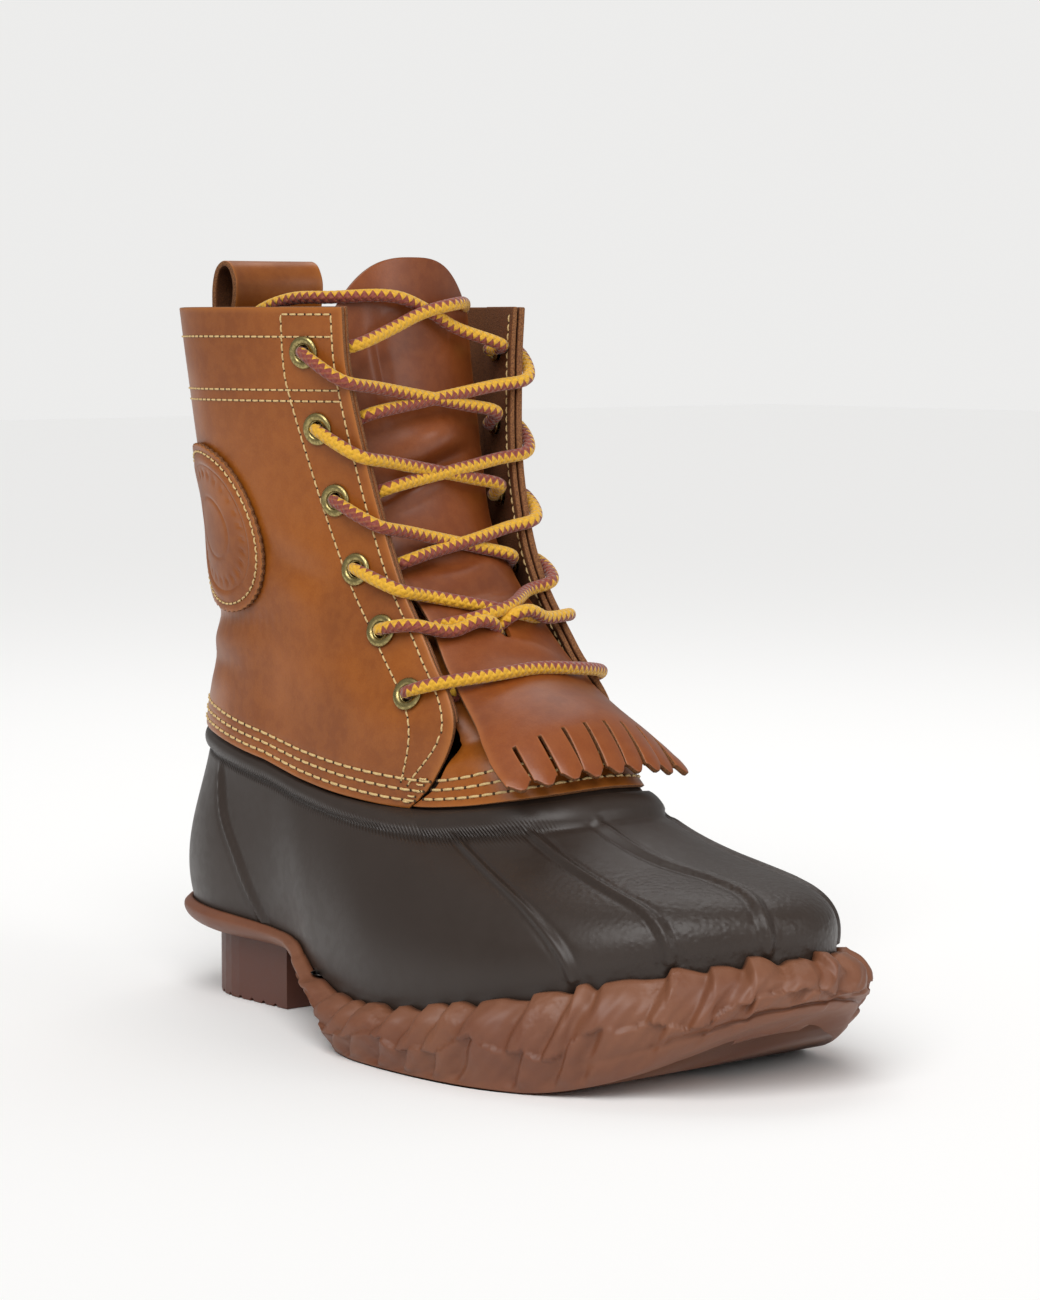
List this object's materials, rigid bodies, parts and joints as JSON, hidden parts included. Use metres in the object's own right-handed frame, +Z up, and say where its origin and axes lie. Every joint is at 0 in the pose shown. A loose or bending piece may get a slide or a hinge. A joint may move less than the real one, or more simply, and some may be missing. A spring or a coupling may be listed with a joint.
{
  "type": "lace-up duck boot",
  "caption": "Right-foot duck boot: laced leather shaft with kiltie tongue and pull loop, moulded rubber shell and gum sole with a heel block.",
  "frame": {"origin": "middle of the heel block's flat face, on the floor", "axes": "+Z up from the floor, +Y from toe to heel along the foot, so the toe points along -Y, and -X towards the lateral side of this right boot"},
  "size_m": [0.1261, 0.2858, 0.2481],
  "materials": {
    "gum_rubber": "matt gum rubber, slightly waxy",
    "heel_rubber": "matt dark red-brown rubber",
    "brown_rubber": "satin moulded rubber with fine pebble grain",
    "dark_leather": "soft dark tan leather",
    "tan_leather": "oiled full-grain leather, soft sheen",
    "antique_brass": "aged brass, satin",
    "yellow_cord": "waxed braided cord, yellow with a brown fleck"
  },
  "bodies": {
    "root": {"outsole": "gum_rubber", "heel_block": "heel_rubber", "rubber_shell": "brown_rubber", "insole": "dark_leather", "shaft": "tan_leather", "gusset": "dark_leather", "facing_lateral": "tan_leather", "facing_medial": "tan_leather", "backstay": "tan_leather", "side_patch": "tan_leather", "pull_loop": "tan_leather", "tongue": "tan_leather", "eyelet_lateral_1": "antique_brass", "eyelet_lateral_2": "antique_brass", "eyelet_lateral_3": "antique_brass", "eyelet_lateral_4": "antique_brass", "eyelet_lateral_5": "antique_brass", "eyelet_lateral_6": "antique_brass", "eyelet_medial_1": "antique_brass", "eyelet_medial_2": "antique_brass", "eyelet_medial_3": "antique_brass", "eyelet_medial_4": "antique_brass", "eyelet_medial_5": "antique_brass", "eyelet_medial_6": "antique_brass", "lace_crossing_1": "yellow_cord", "lace_crossing_2": "yellow_cord", "lace_crossing_3": "yellow_cord", "lace_crossing_4": "yellow_cord", "lace_crossing_5": "yellow_cord", "lace_bar": "yellow_cord"}
  },
  "joints": []
}
